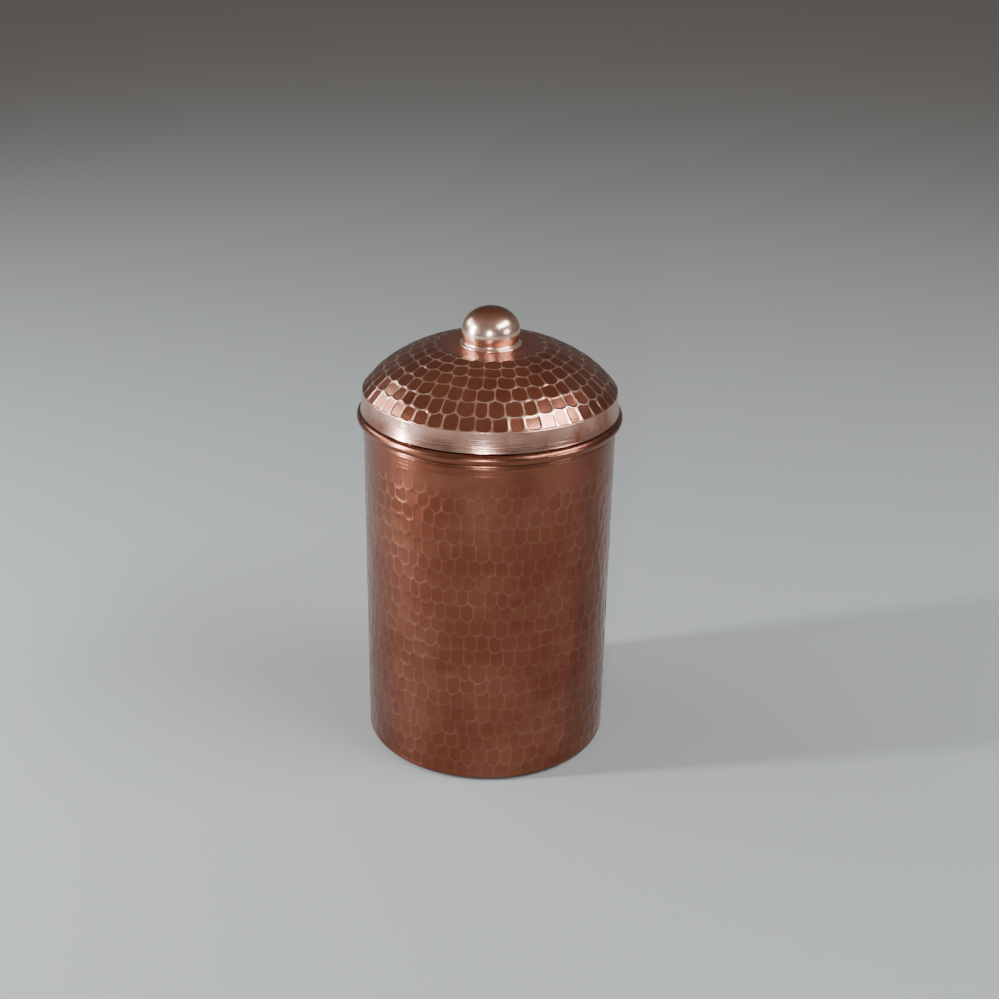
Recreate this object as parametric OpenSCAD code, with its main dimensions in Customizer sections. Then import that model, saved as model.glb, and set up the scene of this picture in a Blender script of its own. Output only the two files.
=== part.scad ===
// Hammered copper tea caddy: a round beaker with a wired rim and a domed lid with a turned knob.
// Millimetres, +Z up. The origin is the centre of the face that the caddy stands on.
// Every sheet is drawn as the outline of its outer face and is thickened inwards, so that
// neighbouring sheets share their faces.

/* [Body] */
// Outside diameter of the wall where it meets the rim
body_d = 100; // [80:1:130]
// How much smaller the diameter is at the foot than at the rim
body_taper = 1.2; // [0:0.1:4]
// Height of the mouth, to the top of the rolled rim
body_h = 142; // [90:1:200]
// Outside radius of the edge between the wall and the base
foot_round = 2.5; // [1.5:0.1:6]
// Width of the flat ring that the caddy stands on
stand_w = 4; // [2:0.5:8]
// How far the middle of the base is raised above the standing ring
base_dish = 1.2; // [0.4:0.1:3]

/* [Sheet] */
// Thickness of the copper sheet
sheet_t = 0.8; // [0.6:0.1:1.2]
// Thickness of the tin lining
tin_t = 0.2; // [0.1:0.05:0.4]

/* [Rim] */
// Diameter of the wire that stiffens the rim
wire_d = 3; // [2:0.1:4]
// How far the middle of the wire lies outside the face of the wall
wire_out = 0.3; // [0:0.1:0.8]

/* [Lid] */
// Gap between the rolled rim and the lid's lower edge
rest_gap = 0.3; // [0.2:0.05:0.6]
// Height of the smooth band, from its lower edge to the ridge
band_h = 8.2; // [5:0.1:16]
// How far the band's lower edge stands outside the ridge
band_flare = 0.9; // [0:0.1:1.4]
// Height that the dome's curve would reach above the ridge without its flat boss
dome_rise = 21.1; // [12:0.1:32]
// How far round its quarter turn the dome's curve has come at the ridge, in degrees
dome_turn = 64.4; // [45:0.1:80]
// Diameter of the circle where the dome's curve meets the flat boss under the knob
boss_d = 44; // [34:1:60]
// How far the lid's sleeve reaches down into the mouth
sleeve_depth = 8.5; // [5:0.5:20]
// Gap between the sleeve and the mouth, all round
sleeve_gap = 0.3; // [0.15:0.05:0.5]

/* [Knob] */
// Largest diameter of the knob
knob_d = 22.7; // [16:0.1:32]
// Height of the knob and its base ring above the boss
knob_h = 14.8; // [10:0.1:24]
// Diameter of the knob's base ring
foot_d = 24.4; // [18:0.1:33]
// Height of the knob's base ring
foot_h = 1.4; // [1:0.1:3]
// Diameter of the screw that holds the knob
screw_d = 4; // [3:0.5:5]
// Diameter of the washer under the screw's head
washer_d = 12; // [9:0.5:16]

/* [Hidden] */
$fn = 96;

copper = [0.56, 0.30, 0.22];
bright_copper = [0.78, 0.50, 0.38];
tin = [0.78, 0.78, 0.76];
brass = [0.76, 0.62, 0.34];

// Steps of the curved stretches
round_steps = 6;
roll_steps = 20;
wire_sides = 32;
dome_steps = 22;
flare_steps = 6;
knob_steps = 14;

// Body
wall_r = body_d / 2;
foot_r = (body_d - body_taper) / 2;
stand_r = foot_r - foot_round;
dish_r = stand_r - stand_w;
dish_slope = 3;

// Rim: the sheet leans in from the knee, passes inside the wire, and rolls out and down over it
roll_r = wire_d / 2 + sheet_t;
roll_x = wall_r + wire_out;
roll_z = body_h - roll_r;
lean = 17;
roll_end = -98;
wire_play = 0.02;
mouth_r = roll_x - roll_r;
lean_top = [roll_x - (wire_d / 2) * cos(lean), roll_z - (wire_d / 2) * sin(lean)];
knee_z = lean_top[1] - (wall_r - lean_top[0]) / tan(lean);

// Lid
band_z = body_h + rest_gap;
ridge_z = band_z + band_h;
ridge_r = wall_r + 0.2;
dome_a = ridge_r / sin(dome_turn);
dome_b = dome_rise / (1 - cos(dome_turn));
boss_turn = asin(boss_d / 2 / dome_a);
boss_z = dome_z(boss_turn);
boss_blend = 0.3;
blend_w = 5;
flat_r = boss_d / 2 - blend_w;
flat_turn = asin(flat_r / dome_a);
sleeve_r = mouth_r - sleeve_gap;
sleeve_z = body_h - sleeve_depth;
sleeve_top = band_z + 3.6;

// Knob and its screw
ball_z = boss_z + foot_h;
ball_r = knob_d / 2;
belly_z = ball_z + 0.3 * (knob_h - foot_h);
under_turn = 18;
crown_h = boss_z + knob_h - belly_z;
washer_t = 1;
clearance = 0.2;
head_r = screw_d;
head_h = 0.6 * screw_d;
slot_w = 1;
slot_depth = 0.9;
grip = 5.5;
lip = 0.5;

function dome_z(turn) = ridge_z + dome_rise - dome_b * (1 - cos(turn));

// The lower of two heights, with a soft change from one to the other
function soft_min(a, b, k) = min(a, b) - k * ln(1 + exp(-abs(a - b) / k));

function arc(x, z, rx, rz, from, to, steps) =
    [for (i = [0:steps]) let (a = from + (to - from) * i / steps) [x + rx * cos(a), z + rz * sin(a)]];

function unit(v) = v / norm(v);

// Direction across a path at one of its points, to the path's left
function across(path, i) =
    let (n = len(path) - 1,
         before = i > 0 ? unit(path[i] - path[i - 1]) : unit(path[1] - path[0]),
         after = i < n ? unit(path[i + 1] - path[i]) : unit(path[n] - path[n - 1]),
         along = unit(before + after))
    [-along[1], along[0]] / (along * before);

function shifted(path, d) = [for (i = [0:len(path) - 1]) path[i] + d * across(path, i)];

function reversed(path) = [for (i = [len(path) - 1:-1:0]) path[i]];

// A sheet turned round the axis: its section lies between two shifts to the path's left
module spun_sheet(path, from, to)
    rotate_extrude() polygon(concat(shifted(path, from), reversed(shifted(path, to))));

// Outer face of the body, from the middle of the base to the top of the lean
base_path = concat(
    [[0, base_dish], [dish_r - dish_slope, base_dish], [dish_r, 0]],
    arc(stand_r, foot_round, foot_round, foot_round, -90, 0, round_steps));
wall_path = concat(base_path, [[wall_r, knee_z]]);

// Outer face of the dome, from the middle of the boss to the ridge
dome_path = [for (i = [1:dome_steps])
    let (turn = flat_turn + (dome_turn - flat_turn) * i / dome_steps)
    [dome_a * sin(turn), soft_min(dome_z(turn), boss_z, boss_blend)]];
lid_path = concat([[screw_d / 2 + clearance, boss_z], [flat_r, boss_z]], dome_path);
dome_edge = shifted(lid_path, -sheet_t)[len(lid_path) - 1];

// Inner face of the band at a height: a plain cone
band_foot = [ridge_r + band_flare - sheet_t, band_z];
function band_inside(z) =
    band_foot[0] + (dome_edge[0] - band_foot[0]) * (z - band_z) / (dome_edge[1] - band_z);

module body_shell() {
    roll_out = arc(roll_x, roll_z, roll_r, roll_r, 180 + lean, roll_end, roll_steps);
    roll_in = arc(roll_x, roll_z, wire_d / 2, wire_d / 2, 180 + lean, roll_end, roll_steps);
    inside = shifted(wall_path, sheet_t);
    color(copper) rotate_extrude()
        polygon(concat(wall_path, roll_in, reversed(roll_out), reversed(inside)));
}

module rim_wire() {
    wire_r = wire_d / 2 - wire_play;
    color(copper) rotate_extrude()
        polygon(arc(roll_x, roll_z, wire_r, wire_r, 0, 360 * (1 - 1 / wire_sides), wire_sides - 1));
}

module body_tin_lining() {
    color(tin) spun_sheet(wall_path, sheet_t, sheet_t + tin_t);
}

module lid_dome() {
    color(copper) spun_sheet(lid_path, 0, -sheet_t);
}

module lid_band() {
    outside = [for (i = [0:flare_steps]) let (s = i / flare_steps)
        [ridge_r + band_flare * (1 - s) * (1 - s), band_z + band_h * s]];
    color(copper) rotate_extrude()
        polygon(concat(outside, [dome_edge, band_foot]));
}

module lid_sleeve() {
    flange_z = sleeve_top - sheet_t;
    inner_r = sleeve_r - sheet_t;
    color(copper) rotate_extrude() polygon([
        [inner_r + lip / 2, sleeve_z], [sleeve_r - lip / 2, sleeve_z], [sleeve_r, sleeve_z + lip],
        [sleeve_r, flange_z], [band_inside(flange_z), flange_z], [band_inside(sleeve_top), sleeve_top],
        [inner_r, sleeve_top], [inner_r, sleeve_z + lip]]);
}

module lid_tin_lining() {
    color(tin) spun_sheet(lid_path, -sheet_t, -sheet_t - tin_t);
}

module knob_ball() {
    under_h = (belly_z - ball_z) / sin(under_turn);
    outline = concat(
        [[0, ball_z]],
        arc(0, belly_z, ball_r, under_h, -under_turn, 0, round_steps),
        arc(0, belly_z, ball_r, crown_h, 90 / knob_steps, 90, knob_steps - 1));
    color(bright_copper) difference() {
        rotate_extrude() polygon(outline);
        translate([0, 0, ball_z - 1]) cylinder(r = screw_d / 2, h = grip + 2);
    }
}

module knob_base_ring() {
    waist_r = ball_r * cos(under_turn);
    edge_r = foot_d / 2;
    edge_h = 0.3 * foot_h;
    color(bright_copper) difference() {
        rotate_extrude() polygon(concat(
            [[0, boss_z], [edge_r, boss_z]],
            [for (i = [0:flare_steps]) let (a = 90 * i / flare_steps)
                [edge_r - (edge_r - waist_r) * sin(a), ball_z - (foot_h - edge_h) * cos(a)]],
            [[0, ball_z]]));
        translate([0, 0, boss_z - 1]) cylinder(r = screw_d / 2 + clearance, h = foot_h + 2);
    }
}

module knob_screw() {
    head_top = boss_z - sheet_t - tin_t - washer_t;
    color(brass) difference() {
        union() {
            rotate_extrude() polygon([
                [0, head_top - head_h], [head_r - 2 * lip, head_top - head_h],
                [head_r, head_top - head_h + 2 * lip], [head_r, head_top], [0, head_top]]);
            translate([0, 0, head_top]) cylinder(r = screw_d / 2, h = ball_z + grip - head_top);
        }
        translate([-head_r - 1, -slot_w / 2, head_top - head_h - 1])
            cube([2 * head_r + 2, slot_w, slot_depth + 1]);
    }
}

module knob_washer() {
    washer_z = boss_z - sheet_t - tin_t - washer_t;
    color(brass) translate([0, 0, washer_z]) difference() {
        cylinder(r = washer_d / 2, h = washer_t);
        translate([0, 0, -1]) cylinder(r = screw_d / 2 + clearance, h = washer_t + 2);
    }
}

body_shell();
rim_wire();
body_tin_lining();
lid_dome();
lid_band();
lid_sleeve();
lid_tin_lining();
knob_ball();
knob_base_ring();
knob_screw();
knob_washer();
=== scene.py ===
import math

import bmesh
import bpy
import numpy as np
from mathutils import Matrix, Vector


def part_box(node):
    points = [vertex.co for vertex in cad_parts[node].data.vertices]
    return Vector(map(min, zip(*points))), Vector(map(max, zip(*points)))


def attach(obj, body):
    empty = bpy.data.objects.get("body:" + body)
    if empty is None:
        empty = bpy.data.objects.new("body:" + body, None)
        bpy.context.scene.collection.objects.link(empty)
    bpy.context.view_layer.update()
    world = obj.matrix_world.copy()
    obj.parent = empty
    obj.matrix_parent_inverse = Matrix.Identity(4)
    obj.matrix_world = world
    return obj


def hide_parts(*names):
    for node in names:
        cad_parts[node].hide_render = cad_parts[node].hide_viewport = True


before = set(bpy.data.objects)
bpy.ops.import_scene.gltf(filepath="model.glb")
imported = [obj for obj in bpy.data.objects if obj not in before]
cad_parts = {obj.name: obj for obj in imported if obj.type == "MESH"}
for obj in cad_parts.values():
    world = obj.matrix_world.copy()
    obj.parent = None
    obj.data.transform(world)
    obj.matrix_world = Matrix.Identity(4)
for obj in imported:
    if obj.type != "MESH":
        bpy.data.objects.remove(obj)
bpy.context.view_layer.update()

# A hammered copper tea caddy with a domed lid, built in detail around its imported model.
# Everything is in metres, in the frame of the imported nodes. The wall and the dome follow one
# rule: courses of hammer marks, wrapped round a turned outline. The rest is turned work.

MM = 0.001
TURN = 2 * math.pi


# ---------------------------------------------------------------- node trees

def operator(operation, reflected=False):
    """A Python operator that adds one Math node to the tree of the value it is used on."""
    def apply(self, other):
        pair = [other, self] if reflected else [self, other]
        return self.sheet.node("ShaderNodeMath", {"operation": operation}, pair)
    return apply


class Value:
    """A node's output in an expression."""

    def __init__(self, sheet, socket):
        self.sheet = sheet
        self.socket = socket

    __add__ = operator("ADD")
    __radd__ = operator("ADD", reflected=True)
    __sub__ = operator("SUBTRACT")
    __rsub__ = operator("SUBTRACT", reflected=True)
    __mul__ = operator("MULTIPLY")
    __rmul__ = operator("MULTIPLY", reflected=True)
    __truediv__ = operator("DIVIDE")
    __mod__ = operator("FLOORED_MODULO")
    __lt__ = operator("LESS_THAN")
    __gt__ = operator("GREATER_THAN")

    def math(self, operation):
        """A function of this one value, such as SINE or FLOOR."""
        return self.sheet.node("ShaderNodeMath", {"operation": operation}, [self])


class Sheet:
    """Adds nodes to one node tree and hands their outputs back as values."""

    def __init__(self, tree):
        self.tree = tree

    def node(self, kind, settings=None, sockets=None, outlet=0):
        """One node: its type, its settings, then the values or links of its sockets."""
        made = self.tree.nodes.new(kind)
        for name, setting in (settings or {}).items():
            setattr(made, name, setting)
        pairs = enumerate(sockets) if isinstance(sockets, list) else (sockets or {}).items()
        for key, value in pairs:
            if isinstance(value, Value):
                self.tree.links.new(value.socket, made.inputs[key])
            else:
                made.inputs[key].default_value = value
        if isinstance(outlet, tuple):
            return [Value(self, made.outputs[key]) for key in outlet]
        return Value(self, made.outputs[outlet]) if made.outputs else made

    def mix(self, a, b, factor):
        """A value part of the way from a to b."""
        return a + (b - a) * factor

    def tint(self, a, b, factor):
        """A colour part of the way from a to b."""
        return self.node("ShaderNodeMix", {"data_type": "RGBA"}, {0: factor, 6: a, 7: b}, 2)

    def spread(self, value, low, high):
        """0 below low, 1 above high, and even between."""
        return self.node("ShaderNodeMapRange", {"clamp": True},
                         {0: value, 1: low, 2: high, 3: 0.0, 4: 1.0})

    def clouds(self, place, size, detail=2.0, stretch=(1, 1, 1)):
        """Soft noise with features of about a size, longer where stretch is larger."""
        scale = [1 / (size * part) for part in stretch]
        place = self.node("ShaderNodeVectorMath", {"operation": "MULTIPLY"}, [place, scale])
        return self.node("ShaderNodeTexNoise", {"noise_dimensions": "3D"}, {
            "Vector": place, "Scale": 1.0, "Detail": detail, "Roughness": 0.55}, 0)

    def turning(self, place, size):
        """Fine rings left by turning and rubbing round the axis, for faces that fall outwards."""
        x, y, z = self.node("ShaderNodeSeparateXYZ", sockets=[place], outlet=(0, 1, 2))
        radius = (x * x + y * y).math("SQRT")
        return self.node("ShaderNodeTexNoise", {"noise_dimensions": "1D"}, {
            "W": (radius - z) / size, "Scale": 1.0, "Detail": 3.0, "Roughness": 0.6}, 0)

    def relief(self, height, depth, base=None):
        """A normal for fine relief, its height from 0 to 1 times a depth in metres."""
        sockets = {"Strength": 1.0, "Distance": depth, "Height": height}
        if base:
            sockets["Normal"] = base
        return self.node("ShaderNodeBump", sockets=sockets)


def emptied(owner):
    """The node tree of a material or a world, without the nodes it is made with."""
    owner.use_nodes = True
    owner.node_tree.nodes.clear()
    return Sheet(owner.node_tree)


# ---------------------------------------------------------------- meshes

# Points nearer than this are joined, and points nearer the axis than this become a pole
WELD = 0.01 * MM
POLE = 0.001 * MM


def reach(node):
    """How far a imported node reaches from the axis."""
    return max(math.hypot(v.co.x, v.co.y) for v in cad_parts[node].data.vertices)


def arc(x, z, rx, rz, start, end, steps):
    """Points of a round stretch, from one angle to another in degrees."""
    turns = [math.radians(start + (end - start) * i / steps) for i in range(steps + 1)]
    return [(x + rx * math.cos(t), z + rz * math.sin(t)) for t in turns]


def across(path):
    """Unit vectors across a path at its points, to its left, stretched at the corners."""
    points = np.array(path, float)
    steps = np.diff(points, axis=0)
    steps /= np.linalg.norm(steps, axis=1, keepdims=True)
    before = np.vstack([steps[:1], steps])
    after = np.vstack([steps, steps[-1:]])
    along = before + after
    along /= np.linalg.norm(along, axis=1, keepdims=True)
    left = np.stack([-along[:, 1], along[:, 0]], axis=1)
    return left / np.sum(along * before, axis=1, keepdims=True)


def shifted(path, distance):
    """A path moved to its left by a distance."""
    return [tuple(p) for p in np.array(path, float) + distance * across(path)]


def spun(path, columns):
    """Points and faces of a path turned round the axis. A point on the axis becomes a pole."""
    points = []
    rings = []
    for r, z in path:
        if r < POLE:
            rings.append([len(points)] * columns)
            points.append((0.0, 0.0, z))
            continue
        rings.append(list(range(len(points), len(points) + columns)))
        turns = [TURN * i / columns for i in range(columns)]
        points.extend((r * math.cos(t), r * math.sin(t), z) for t in turns)
    faces = []
    for low, high in zip(rings, rings[1:]):
        for i in range(columns):
            j = (i + 1) % columns
            corners = [low[i], low[j], high[j], high[i]]
            faces.append(list(dict.fromkeys(corners)))
    return points, faces


def mesh_of(name, parts, marks=None):
    """One mesh from several (points, faces) parts whose edges meet.

    marks holds values for the points of the first part, one list for each attribute name."""
    points = []
    faces = []
    for part_points, part_faces in parts:
        start = len(points)
        points.extend(part_points)
        faces.extend([start + i for i in face] for face in part_faces)
    mesh = bpy.data.meshes.new(name)
    mesh.from_pydata(points, [], faces)
    for label, values in (marks or {}).items():
        whole = np.zeros(len(points), np.float32)
        whole[:len(values)] = values
        mesh.attributes.new(label, "FLOAT", "POINT").data.foreach_set("value", whole)
    work = bmesh.new()
    work.from_mesh(mesh)
    bmesh.ops.remove_doubles(work, verts=work.verts, dist=WELD)
    bmesh.ops.recalc_face_normals(work, faces=work.faces)
    work.to_mesh(mesh)
    work.free()
    mesh.shade_smooth()
    return mesh


def piece(name, mesh, material, body, nodes):
    """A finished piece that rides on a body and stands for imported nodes."""
    made = bpy.data.objects.new(name, mesh)
    bpy.context.scene.collection.objects.link(made)
    mesh.materials.clear()
    mesh.materials.append(material)
    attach(made, body)
    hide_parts(*nodes)
    return made


# ---------------------------------------------------------------- hammered sheet

# How strongly grid lines crowd towards the edges of a mark
SQUEEZE = 0.55
# A little less than any whole step, so that rounding never puts a point in the wrong mark
EDGE = 0.001
# More than the marks of any course, so that every mark has its own number
MARK_STRIDE = 4096
# What each point says of itself: on a crest, its mark's own shade, and how far it was hammered
MARK_LABELS = ("crest", "shade", "struck")
HAMMER_INPUTS = {
    "Outline": "NodeSocketGeometry",
    "Mark width": "NodeSocketFloat",
    "Columns": "NodeSocketInt",
    "Courses": "NodeSocketInt",
    "Fading courses": "NodeSocketFloat",
    "Steps": "NodeSocketInt",
    "Narrowing": "NodeSocketFloat",
    "Depth": "NodeSocketFloat",
    "Depth spread": "NodeSocketFloat",
    "Lip": "NodeSocketFloat",
    "Tilt": "NodeSocketFloat",
    "Scallop": "NodeSocketFloat",
    "Wander": "NodeSocketFloat",
    "Corner rounding": "NodeSocketFloat",
    "Seed": "NodeSocketInt",
}


def hammered_tree():
    """A sheet of hammer marks round the axis, from an outline that runs from low to high.

    Each course is a ring of marks. A mark owns its lower edge, which hangs in an arc over the
    course below, as when each blow lands over the last. Grid lines follow the marks' edges, and
    crowd towards them, so that the crests between the marks stay narrow."""
    tree = bpy.data.node_groups.new("hammered sheet", "GeometryNodeTree")
    for name, kind in HAMMER_INPUTS.items():
        tree.interface.new_socket(name, in_out="INPUT", socket_type=kind)
    tree.interface.new_socket("Sheet", in_out="OUTPUT", socket_type="NodeSocketGeometry")
    s = Sheet(tree)
    given = dict(zip(HAMMER_INPUTS, s.node("NodeGroupInput", outlet=tuple(HAMMER_INPUTS))))
    columns = given["Columns"]
    courses = given["Courses"]
    steps = given["Steps"]
    rows = courses * steps
    outline = s.node("GeometryNodeMeshToCurve", sockets={"Mesh": given["Outline"]})

    grid = s.node("GeometryNodeMeshGrid", sockets={
        "Size X": 1.0, "Size Y": 1.0, "Vertices X": columns + 1, "Vertices Y": rows + 1})
    x, y = s.node("ShaderNodeSeparateXYZ", sockets=[s.node("GeometryNodeInputPosition")],
                  outlet=("X", "Y"))
    column = ((x + 0.5) * columns).math("ROUND")
    row = ((y + 0.5) * rows).math("ROUND")
    course = (row / steps + EDGE).math("FLOOR")
    step = row - course * steps
    up = step / steps

    def chance(number, salt):
        """A random value from 0 to 1, always the same for a number and a salt."""
        return s.node("FunctionNodeRandomValue", {"data_type": "FLOAT"}, {
            2: 0.0, 3: 1.0, "ID": number, "Seed": given["Seed"] + salt}, 1)

    def number(level, mark, count):
        """One whole number for each mark, the same again after a full turn."""
        return (level * MARK_STRIDE + mark % count).math("ROUND")

    def outline_at(along):
        """Place and direction of the outline, part of the way along it."""
        part = along / courses
        part = part * (1 + given["Narrowing"]) - given["Narrowing"] * part * part
        place, heading = s.node(
            "GeometryNodeSampleCurve", {"mode": "FACTOR"},
            {"Curves": outline, "Factor": part}, ("Position", "Tangent"))
        r, z = s.node("ShaderNodeSeparateXYZ", sockets=[place], outlet=("X", "Z"))
        run, rise = s.node("ShaderNodeSeparateXYZ", sockets=[heading], outlet=("X", "Z"))
        return r, z, rise, 0 - run

    def squeezed(part, strength=1.0):
        return part - strength * SQUEEZE / TURN * (part * TURN).math("SINE")

    def marks_at(level, spot):
        """The mark of a course that covers a spot, which is counted in columns.

        The edges between marks lie on whole columns, so that grid lines can follow them."""
        count = (TURN * outline_at(level + 0.5)[0] / given["Mark width"]).math("ROUND")
        shift = chance(level, 1)
        pitch = columns / count

        def edge(mark):
            sway = given["Wander"] * (chance(number(level, mark, count), 2) - 0.5)
            return (pitch * (mark + shift + sway)).math("ROUND")

        mark = (spot / pitch - shift + EDGE).math("FLOOR")
        mark = mark - (spot + EDGE < edge(mark)) + 1 - (spot + EDGE < edge(mark + 1))
        first, last = edge(mark), edge(mark + 1)
        part = (spot - first) / (last - first)
        return first, last, part, number(level, mark, count), number(level, mark + 1, count)

    def lower_edge(level, spot):
        """Height of the lower edge of a course at a spot, in courses."""
        _, _, part, own, following = marks_at(level, spot)
        sway = s.mix(chance(own, 3), chance(following, 3), squeezed(part)) - 0.5
        sag = given["Scallop"] * (0.5 + chance(own, 4)) * 4 * part * (1 - part)
        inner = (level > 0.5) * (level < courses - 0.5)
        return level + (given["Wander"] * sway - sag) * inner

    first, last, part, own, _ = marks_at(course, column)
    inside = (part > EDGE) * (step > 0.5)
    q = 2 * squeezed(up) - 1
    p = 2 * squeezed(part, inside * (1 - q * q * q * q)) - 1
    rounding = given["Corner rounding"] * inside
    p_in = p * (1 - rounding * q * q * q * q)
    q_in = q * (1 - rounding * p * p * p * p)

    spot = s.mix(first, last, 0.5 + 0.5 * p_in)
    low = lower_edge(course, spot)
    high = lower_edge(course + 1, spot)
    along = s.mix(low, high, 0.5 + 0.5 * q_in)
    turn = TURN * spot / columns
    r, z, out_r, out_z = outline_at(along)

    ends = 1 - (row > 0.5) * (row < rows - 0.5)
    hammered = (1 - s.spread(along, courses - given["Fading courses"], courses)) * (1 - ends)
    depth = given["Depth"] * (1 - given["Depth spread"] * chance(own, 5))
    bowl = depth * (1 - 0.5 * (p_in * p_in + q_in * q_in))
    tilt = given["Tilt"] * ((chance(own, 6) - 0.5) * p_in + (chance(own, 7) - 0.5) * q_in)
    sunk = (bowl + inside * (given["Lip"] + tilt)) * hammered
    r = r - sunk * out_r
    place = s.node("ShaderNodeCombineXYZ", sockets=[
        r * turn.math("COSINE"), r * turn.math("SINE"), z - sunk * out_z])

    sheet = grid
    for label, field in zip(MARK_LABELS, ((1 - inside) * hammered, chance(own, 8), hammered)):
        sheet = s.node("GeometryNodeStoreNamedAttribute", {"data_type": "FLOAT", "domain": "POINT"},
                       {"Geometry": sheet, "Name": label, "Value": field})
    sheet = s.node("GeometryNodeSetPosition", sockets={"Geometry": sheet, "Position": place})
    sheet = s.node("GeometryNodeRealizeInstances", sockets=[sheet])
    sheet = s.node("GeometryNodeSetMaterial", sockets={"Geometry": sheet})
    s.node("NodeGroupOutput", sockets=[sheet])
    return tree


def hammered_sheet(tree, path, settings):
    """Points, faces and mark values of a hammered sheet along an outline."""
    line = bpy.data.meshes.new("outline")
    line.from_pydata([(r, 0.0, z) for r, z in path], [(i, i + 1) for i in range(len(path) - 1)], [])
    host = bpy.data.objects.new("outline", line)
    bpy.context.scene.collection.objects.link(host)
    modifier = host.modifiers.new("hammering", "NODES")
    modifier.node_group = tree
    sockets = {i.name: i.identifier for i in tree.interface.items_tree if i.in_out == "INPUT"}
    for name, value in settings.items():
        modifier[sockets[name]] = value
    graph = bpy.context.evaluated_depsgraph_get()
    made = bpy.data.meshes.new_from_object(host.evaluated_get(graph), depsgraph=graph)
    host.modifiers.remove(modifier)
    bpy.data.objects.remove(host)
    points = [tuple(v.co) for v in made.vertices]
    faces = [list(f.vertices) for f in made.polygons]
    marks = {}
    for label in MARK_LABELS:
        values = np.zeros(len(points), np.float32)
        made.attributes[label].data.foreach_get("value", values)
        marks[label] = values
    return (points, faces), marks


# ---------------------------------------------------------------- sizes

# Wall and base
SHEET = 0.8 * MM
FOOT_ROUND = 2.5 * MM
TAPER = 0.6 * MM
BASE_DISH = 1.2 * MM
DISH_SLOPE = 3 * MM
STAND_WIDTH = 4 * MM

# Rolled rim: the wire's middle lies this far out, and the sheet leans and ends at these angles
WIRE_OUT = 0.3 * MM
LEAN = 17.0
ROLL_END = -98.0
WIRE_LOW, WIRE_HIGH = (corner.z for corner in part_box("rim_wire"))
MOUTH_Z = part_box("body_shell")[1].z
ROLL_R = MOUTH_Z - (WIRE_HIGH + WIRE_LOW) / 2
ROLL_X = reach("body_shell") - ROLL_R
ROLL_Z = MOUTH_Z - ROLL_R
WALL_R = ROLL_X - WIRE_OUT
FOOT_R = WALL_R - TAPER

# Plain band under the rim: its height, where its grooves run in it, and how wide and deep they are
TURNED_BAND = 6.2 * MM
GROOVES = (0.06, 0.17, 0.38, 0.47, 0.71, 0.79)
GROOVE = 0.3 * MM
GROOVE_DEPTH = GROOVE / 8
BRUSHED_LOW = MOUTH_Z - 30 * MM
BRUSHED_HIGH = MOUTH_Z - 15 * MM

# Lid: the dome is part of an oval, up to the angle where the ridge cuts it
RIDGE_R = reach("lid_dome")
BOSS_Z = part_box("lid_dome")[1].z
BAND_LOW, BAND_HIGH = (corner.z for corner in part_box("lid_band"))
BAND_R = reach("lid_band")
DOME_RISE = 21.1 * MM
DOME_TURN = 64.4
BOSS_SOFT = 0.3 * MM
BOSS_HAMMERED = 16.5 * MM
DOME_A = RIDGE_R / math.sin(math.radians(DOME_TURN))
DOME_B = DOME_RISE / (1 - math.cos(math.radians(DOME_TURN)))
BAND_EDGE = 0.2 * MM

# Knob: an upper half ball on a lower part that draws in by an angle to its foot
KNOB_LOW, KNOB_TOP = (corner.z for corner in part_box("knob_ball"))
BALL_R = reach("knob_ball")
BALL_UNDER = 18.0
BELLY = 0.3
KNOB_FOOT_R = reach("knob_base_ring")
FOOT_SOFT = 0.12 * MM
FOOT_EDGE = 0.3
SCREW_R = 2 * MM
SCREW_HOLE = 2.2 * MM
SCREW_GRIP = 6.5 * MM

BODY_COLUMNS = 420
LID_COLUMNS = 400
KNOB_COLUMNS = 128


def wall_r(z):
    """Outside radius of the wall at a height."""
    knee = ROLL_Z - ROLL_R
    return FOOT_R + (WALL_R - FOOT_R) * (z - FOOT_ROUND) / (knee - FOOT_ROUND)


def dome_z(r):
    """Height of the dome's outer face at a radius, with its flat boss."""
    round_z = BAND_HIGH + DOME_RISE - DOME_B * (1 - math.sqrt(1 - (r / DOME_A) ** 2))
    gap = abs(round_z - BOSS_Z)
    return min(round_z, BOSS_Z) - BOSS_SOFT * math.log(1 + math.exp(-gap / BOSS_SOFT))


# ---------------------------------------------------------------- pieces

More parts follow.
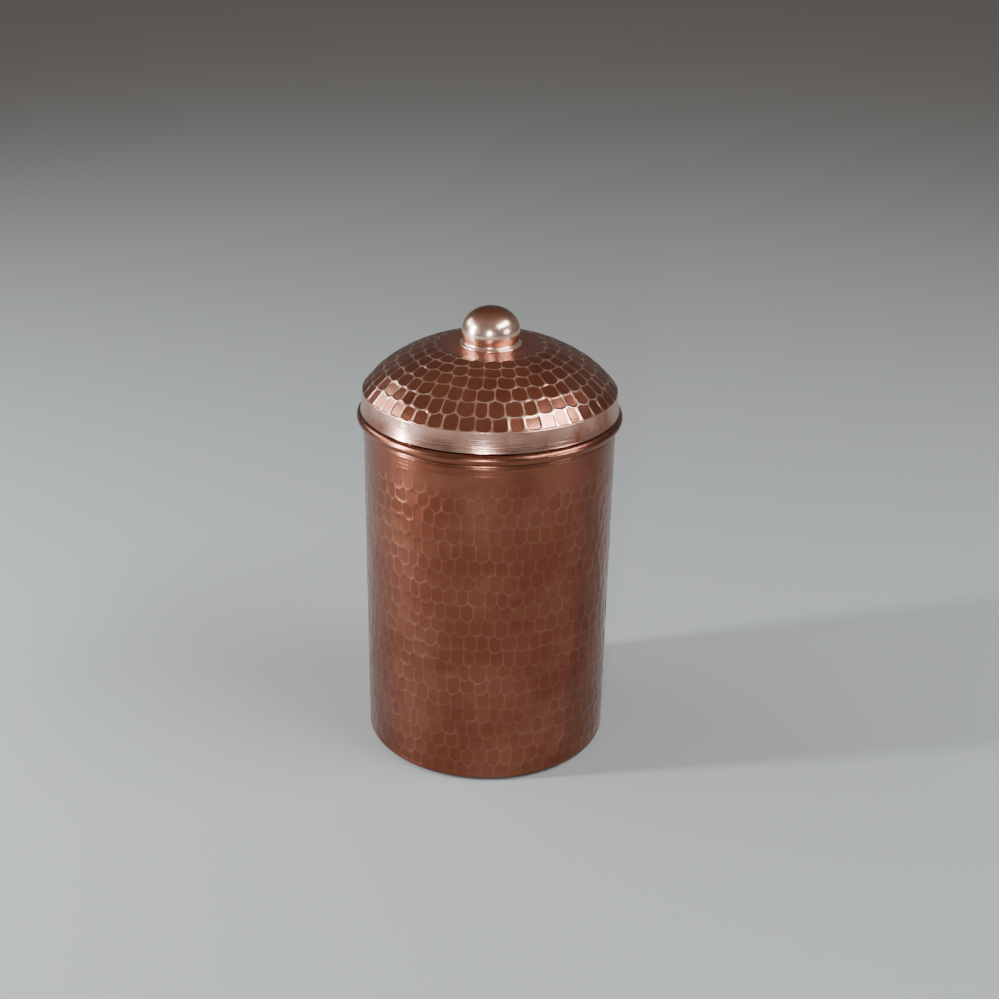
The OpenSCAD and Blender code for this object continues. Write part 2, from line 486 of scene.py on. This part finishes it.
def body_shell(tree, material):
    """The hammered wall with its turned band, rolled rim, inside and base."""
    top = MOUTH_Z - 2 * ROLL_R - TURNED_BAND
    wall, marks = hammered_sheet(tree, [(wall_r(FOOT_ROUND), FOOT_ROUND), (wall_r(top), top)], {
        "Mark width": 5.2 * MM, "Columns": BODY_COLUMNS, "Courses": 20, "Fading courses": 1.2,
        "Steps": 7, "Narrowing": 0.0, "Depth": 0.13 * MM, "Depth spread": 0.5, "Lip": 0.03 * MM,
        "Tilt": 0.2 * MM, "Scallop": 0.24, "Wander": 0.22, "Corner rounding": 0.26, "Seed": 11})

    wire_r = ROLL_R - SHEET
    lean = math.radians(LEAN)
    touch = (ROLL_X - wire_r * math.cos(lean), ROLL_Z - wire_r * math.sin(lean))
    knee = (WALL_R, touch[1] - (WALL_R - touch[0]) / math.tan(lean))
    grooves = [top + part * (knee[1] - top) for part in GROOVES]
    band = [(wall_r(top), top)]
    for z in grooves:
        r = wall_r(z)
        band += [(r, z - GROOVE / 2), (r - GROOVE_DEPTH, z), (r, z + GROOVE / 2)]
    band.append((wall_r(knee[1]), knee[1]))
    roll_in = arc(ROLL_X, ROLL_Z, wire_r, wire_r, 180 + LEAN, ROLL_END, 16)
    roll_out = arc(ROLL_X, ROLL_Z, ROLL_R, ROLL_R, ROLL_END, 180 + LEAN, 28)
    dish_r = FOOT_R - FOOT_ROUND - STAND_WIDTH
    under = [(0, BASE_DISH), (dish_r - DISH_SLOPE, BASE_DISH), (dish_r, 0)]
    under += arc(FOOT_R - FOOT_ROUND, FOOT_ROUND, FOOT_ROUND, FOOT_ROUND, -90, 0, 8)
    inside = shifted(under + [(wall_r(knee[1]), knee[1])], SHEET)[::-1]
    upper = band + roll_in + roll_out + inside
    parts = [wall, spun(upper, BODY_COLUMNS), spun(under, BODY_COLUMNS)]
    mesh = mesh_of("hammered_body", parts, marks)
    return piece("hammered_body", mesh, material, "caddy", ["body_shell"])


def lid_dome(tree, material):
    """The hammered dome with its flat boss."""
    radii = np.linspace(RIDGE_R, BOSS_HAMMERED, 90)
    path = [(r, dome_z(r)) for r in radii]
    dome, marks = hammered_sheet(tree, path, {
        "Mark width": 6.0 * MM, "Columns": LID_COLUMNS, "Courses": 7, "Fading courses": 1.3,
        "Steps": 9, "Narrowing": 0.2, "Depth": 0.17 * MM, "Depth spread": 0.4, "Lip": 0.14 * MM,
        "Tilt": 0.12 * MM, "Scallop": 0.12, "Wander": 0.16, "Corner rounding": 0.32, "Seed": 5})
    boss = [(r, dome_z(r)) for r in np.linspace(BOSS_HAMMERED, SCREW_HOLE, 12)]
    outer = [(r, dome_z(r)) for r in np.linspace(RIDGE_R, SCREW_HOLE, 60)]
    inner = shifted(outer, SHEET)[::-1]
    rest = boss + inner + [(RIDGE_R, dome_z(RIDGE_R))]
    mesh = mesh_of("hammered_dome", [dome, spun(rest, LID_COLUMNS)], marks)
    return piece("hammered_dome", mesh, material, "lid", ["lid_dome"])


def turned_piece(name, path, columns, material, body, nodes):
    """A solid turned from its outline."""
    return piece(name, mesh_of(name, [spun(path, columns)]), material, body, nodes)


def lid_band(material):
    """The lid's smooth band, flared a little, with its lower edge broken."""
    flare = BAND_R - RIDGE_R
    rise = BAND_HIGH - BAND_LOW
    parts = np.linspace(0, 1, 25)
    outside = [(RIDGE_R + flare * (1 - part) ** 2, BAND_LOW + rise * part) for part in parts]
    lowest = arc(BAND_R - BAND_EDGE, BAND_LOW + BAND_EDGE, BAND_EDGE, BAND_EDGE, -90, 0, 4)
    inner_top = shifted([(r, dome_z(r)) for r in (RIDGE_R - MM, RIDGE_R)], -SHEET)[-1]
    path = lowest + outside[1:] + [inner_top, (BAND_R - SHEET, BAND_LOW)]
    path.append(path[0])
    return turned_piece("turned_band", path, LID_COLUMNS, material, "lid", ["lid_band"])


def knob_ball(material):
    """The knob, bored for its screw."""
    belly = KNOB_LOW + BELLY * (KNOB_TOP - KNOB_LOW)
    under = (belly - KNOB_LOW) / math.sin(math.radians(BALL_UNDER))
    bore = KNOB_LOW + SCREW_GRIP
    path = [(0, bore), (SCREW_R, bore), (SCREW_R, KNOB_LOW)]
    path += arc(0, belly, BALL_R, under, -BALL_UNDER, 0, 12)
    path += arc(0, belly, BALL_R, KNOB_TOP - belly, 3, 87, 28) + [(0, KNOB_TOP)]
    return turned_piece(
        "knob_crown", path, KNOB_COLUMNS, material, "lid", ["knob_ball"])


def knob_base_ring(material):
    """The base ring, hollowed up to the knob."""
    low, high = (corner.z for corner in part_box("knob_base_ring"))
    waist = BALL_R * math.cos(math.radians(BALL_UNDER))
    edge = FOOT_EDGE * (high - low)
    path = [(SCREW_HOLE, high), (SCREW_HOLE, low), (KNOB_FOOT_R - FOOT_SOFT, low)]
    path += arc(KNOB_FOOT_R - FOOT_SOFT, low + FOOT_SOFT, FOOT_SOFT, FOOT_SOFT, -60, 0, 3)
    for turn in np.radians(np.linspace(4, 90, 14)):
        across_hollow = KNOB_FOOT_R - (KNOB_FOOT_R - waist) * math.sin(turn)
        path.append((across_hollow, high - (high - low - edge) * math.cos(turn)))
    path.append(path[0])
    return turned_piece(
        "knob_foot", path, KNOB_COLUMNS, material, "lid", ["knob_base_ring"])


# ---------------------------------------------------------------- finishes

BROWN_COPPER = (0.27, 0.082, 0.048, 1)
ROSE_COPPER = (0.39, 0.145, 0.095, 1)
GOLDEN_COPPER = (0.40, 0.17, 0.09, 1)
BRIGHT_COPPER = (0.88, 0.57, 0.45, 1)
# Painted shade, laid over the wall's copper
PAINTED_SHADE_BROWN = (0.12, 0.034, 0.02, 1)
CROWN_BROWN = (0.27, 0.085, 0.035, 1)
TIN = (0.80, 0.79, 0.76, 1)
GREY_TIN = (0.58, 0.57, 0.54, 1)
BRASS = (0.74, 0.54, 0.26, 1)
DULL_BRASS = (0.48, 0.32, 0.14, 1)


def metal(name, paint):
    """A metal whose colour, roughness and normal come from a paint function."""
    material = bpy.data.materials.new(name)
    s = emptied(material)
    colour, roughness, normal = paint(s, s.node("ShaderNodeTexCoord", outlet="Object"))
    shader = s.node("ShaderNodeBsdfPrincipled", sockets={
        "Base Color": colour, "Metallic": 1.0, "Roughness": roughness, "Normal": normal})
    s.node("ShaderNodeOutputMaterial", sockets={"Surface": shader})
    return material


def patina(s, place):
    """Copper that has darkened in soft patches, some rosy and some golden."""
    patches = s.spread(s.clouds(place, 26 * MM, 3.0), 0.38, 0.62)
    gold = s.spread(s.clouds(place, 15 * MM, 2.0, (1.3, 1.3, 0.8)), 0.52, 0.72)
    colour = s.tint(BROWN_COPPER, ROSE_COPPER, patches)
    return s.tint(colour, GOLDEN_COPPER, gold * 0.6)


def hammered_paint(s, place, rough, crest_rub_and_highlight, brushed_over=0.0, satin=0.0, painted_shade=0.0):
    """Hammer marks, each a little different, with crests lightened in places, partly as rubbed wear
    and partly as painted highlight.

    Turning lines cover the plain parts, and the marks too where they were brushed over.
    The fourth argument is how much the crests are lightened, as rubbed wear and painted highlight,
    satin is how much duller the plain parts are, and the last is how far the copper is darkened as
    painted shade."""
    crest, shade, struck = (
        s.node("ShaderNodeAttribute", {"attribute_name": label}, outlet="Fac")
        for label in MARK_LABELS)
    lined = 1 - struck * (1 - brushed_over)
    rings = s.mix(0.5, s.turning(place, 0.8 * MM), lined)
    brushed = s.clouds(place, 0.4 * MM, 3.0, (30, 30, 1)) * lined
    shade = shade * struck
    colour = s.tint(patina(s, place), BROWN_COPPER, shade * 0.6)
    # Painted shade: the sheet darkened toward deep brown, standing in for the dark surroundings it
    # mirrors.
    colour = s.tint(colour, PAINTED_SHADE_BROWN, painted_shade)
    # Crests lightened in patches toward bright copper: partly rubbed wear, partly painted highlight
    # where the ridges catch the light.
    rub_and_highlight_patches = s.spread(s.clouds(place, 12 * MM, 3.0), 0.3, 0.65)
    colour = s.tint(colour, BRIGHT_COPPER, crest * (0.4 + 0.6 * rub_and_highlight_patches) * crest_rub_and_highlight)
    roughness = rough + satin * lined + 0.08 * shade + 0.1 * brushed + 0.06 * crest
    smooth = s.relief(s.clouds(place, 3.5 * MM, 1.0), 0.02 * MM)
    return colour, roughness, s.relief(rings, 0.07 * MM, s.relief(brushed, 0.045 * MM, smooth))


def wall_paint(s, place):
    """The wall, brushed over below its turned band, and darkened all over as painted shade."""
    height = s.node("ShaderNodeSeparateXYZ", sockets=[place], outlet="Z")
    patches = s.spread(s.clouds(place, 22 * MM), 0.4, 0.6)
    over = s.spread(height, BRUSHED_LOW, BRUSHED_HIGH) * patches
    # The wall's copper is darkened part way toward deep brown as painted shade.
    return hammered_paint(s, place, 0.17, 0.08, over, painted_shade=0.45)


def dome_paint(s, place):
    """The dome, with crests lightened as rubbed wear and painted highlight."""
    return hammered_paint(s, place, 0.16, 1.0, satin=0.16)


def satin_paint(s, place):
    """Turned and brushed copper, with a painted highlight along the band's top edge."""
    rings = s.turning(place, 0.7 * MM)
    brushed = s.clouds(place, 0.35 * MM, 3.0, (30, 30, 1))
    colour = s.tint(ROSE_COPPER, BRIGHT_COPPER, s.spread(s.clouds(place, 9 * MM, 3.0), 0.3, 0.9))
    height = s.node("ShaderNodeSeparateXYZ", sockets=[place], outlet="Z")
    # Painted highlight: the top half millimetre of the band, along the ridge, is lightened toward
    # bright copper.
    ridge_highlight = s.spread(height, BAND_HIGH - 0.5 * MM, BAND_HIGH)
    colour = s.tint(s.tint(colour, ROSE_COPPER, s.spread(rings, 0.5, 0.7) * 0.6), BRIGHT_COPPER, ridge_highlight)
    normal = s.relief(rings, 0.05 * MM, s.relief(brushed, 0.035 * MM))
    return colour, 0.12 + 0.16 * brushed, normal


def polished_paint(s, place):
    """Bright copper, darker and browner toward the crown."""
    height = s.node("ShaderNodeSeparateXYZ", sockets=[place], outlet="Z")
    crown = s.spread(height + 2 * MM * s.clouds(place, 3 * MM, 2.0), KNOB_TOP - 5 * MM, KNOB_TOP)
    rings = s.turning(place, 0.35 * MM)
    # Darker and browner toward the crown.
    colour = s.tint(BRIGHT_COPPER, CROWN_BROWN, crown * 0.95)
    colour = s.tint(colour, ROSE_COPPER, s.spread(s.clouds(place, 4 * MM, 3.0), 0.5, 0.7) * 0.35)
    normal = s.relief(rings, 0.003 * MM, s.relief(s.clouds(place, 2.2 * MM, 1.0), 0.015 * MM))
    return colour, 0.15 + 0.14 * s.clouds(place, 1.5 * MM, 3.0), normal


def tin_paint(s, place):
    """Tin wiped on hot, with soft smears and faint hammer marks."""
    smears = s.spread(s.clouds(place, 8 * MM, 4.0, (1, 1, 2.5)), 0.3, 0.7)
    marks = s.clouds(place, 6 * MM, 1.0)
    normal = s.relief(smears, 0.01 * MM, s.relief(marks, 0.08 * MM))
    return s.tint(TIN, GREY_TIN, smears * 0.5), 0.3 + 0.15 * smears, normal


def brass_paint(s, place):
    """Plain turned brass, gone dull in patches."""
    rings = s.turning(place, 0.2 * MM)
    dull = s.spread(s.clouds(place, 2.5 * MM, 3.0), 0.4, 0.65)
    return s.tint(BRASS, DULL_BRASS, dull * 0.8), 0.25 + 0.15 * dull, s.relief(rings, 0.004 * MM)


# ---------------------------------------------------------------- stage

# Camera: where it stands and how it is turned, in metres and degrees
CAMERA_PLACE = (0.0, -0.5951, 0.3613)
CAMERA_DOWN = 23.526
CAMERA_ASIDE = 0.427
CAMERA_ROLL = 0.983
CAMERA_LENS = 57.66
SENSOR = 36.0

LIGHT_COLOUR = (0.84, 0.95, 1.0)
LIT_HEIGHT = 0.08
FLOOR_Z = -0.2 * MM
FLOOR_HALF = 6.0
FLOOR_GREY = (0.28, 0.27, 0.262, 1)
ROOM_ROUND = (0.2, 0.195, 0.19, 1)
ROOM_OVERHEAD = (0.39, 0.35, 0.32, 1)


def camera():
    """The camera, turned down, a little aside and a little rolled."""
    down, aside, roll = (math.radians(a) for a in (CAMERA_DOWN, CAMERA_ASIDE, CAMERA_ROLL))
    level = math.cos(down)
    ahead = Vector((math.sin(aside) * level, math.cos(aside) * level, -math.sin(down)))
    right = ahead.cross(Vector((0, 0, 1))).normalized()
    top = right.cross(ahead)
    rolled_right = math.cos(roll) * right + math.sin(roll) * top
    rolled_top = math.cos(roll) * top - math.sin(roll) * right
    data = bpy.data.cameras.new("camera")
    data.lens = CAMERA_LENS
    data.sensor_width = SENSOR
    made = bpy.data.objects.new("camera", data)
    turned = Matrix((rolled_right, rolled_top, -ahead)).transposed().to_4x4()
    made.matrix_world = Matrix.Translation(CAMERA_PLACE) @ turned
    bpy.context.scene.collection.objects.link(made)
    bpy.context.scene.camera = made


def softbox(name, aside, up, distance, size, watts):
    """A rectangular light that faces the caddy. aside is 0 in front and grows to the right."""
    a, e = math.radians(aside), math.radians(up)
    aim = Vector((0, 0, LIT_HEIGHT))
    away = Vector((math.sin(a) * math.cos(e), -math.cos(a) * math.cos(e), math.sin(e)))
    place = aim + distance * away
    data = bpy.data.lights.new(name, "AREA")
    data.shape = "RECTANGLE"
    data.size, data.size_y = size
    data.energy = watts
    data.color = LIGHT_COLOUR
    made = bpy.data.objects.new(name, data)
    made.location = place
    made.rotation_mode = "QUATERNION"
    made.rotation_quaternion = (aim - place).to_track_quat("-Z", "Y")
    bpy.context.scene.collection.objects.link(made)


def floor():
    """A plain light grey floor."""
    mesh = bpy.data.meshes.new("floor")
    signs = ((-1, -1), (1, -1), (1, 1), (-1, 1))
    corners = [(x * FLOOR_HALF, y * FLOOR_HALF, FLOOR_Z) for x, y in signs]
    mesh.from_pydata(corners, [], [(0, 1, 2, 3)])
    made = bpy.data.objects.new("floor", mesh)
    bpy.context.scene.collection.objects.link(made)
    material = bpy.data.materials.new("floor")
    s = emptied(material)
    shader = s.node("ShaderNodeBsdfPrincipled", sockets={"Base Color": FLOOR_GREY, "Roughness": 0.8})
    s.node("ShaderNodeOutputMaterial", sockets={"Surface": shader})
    mesh.materials.append(material)


def surroundings():
    """A plain room, lighter overhead."""
    world = bpy.data.worlds.new("world")
    s = emptied(world)
    heading = s.node("ShaderNodeTexCoord", outlet="Generated")
    height = s.node("ShaderNodeSeparateXYZ", sockets=[heading], outlet="Z")
    room = s.tint(ROOM_ROUND, ROOM_OVERHEAD, s.spread(height, 0.5, 0.9))
    shader = s.node("ShaderNodeBackground", sockets={"Color": room, "Strength": 1.0})
    s.node("ShaderNodeOutputWorld", sockets={"Surface": shader})
    bpy.context.scene.world = world


def lighting():
    """Softboxes on both sides and in front, in degrees, metres and watts."""
    softbox("left_strip", -78, 15, 0.8, (0.06, 0.48), 17)
    softbox("left_softbox", -105, 28, 1.1, (0.75, 0.3), 7)
    softbox("right_softbox", 68, 47, 1.0, (0.75, 0.2), 13)
    softbox("right_strip", 66, 15, 1.0, (0.3, 0.2), 3)
    softbox("front_strip", -5, 14, 1.2, (0.04, 0.3), 9)


camera()
floor()
surroundings()
lighting()
hammering = hammered_tree()
satin = metal("satin_copper", satin_paint)
polished = metal("polished_copper", polished_paint)
tin = metal("tin", tin_paint)
brass = metal("brass", brass_paint)
body_shell(hammering, metal("hammered_wall", wall_paint))
lid_dome(hammering, metal("hammered_dome", dome_paint))
lid_band(satin)
knob_ball(polished)
knob_base_ring(polished)

PACKED_FINISHES = {
    "rim_wire": satin,
    "lid_sleeve": satin,
    "body_tin_lining": tin,
    "lid_tin_lining": tin,
    "knob_screw": brass,
    "knob_washer": brass,
}
for node, material in PACKED_FINISHES.items():
    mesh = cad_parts[node].data
    mesh.materials.clear()
    mesh.materials.append(material)
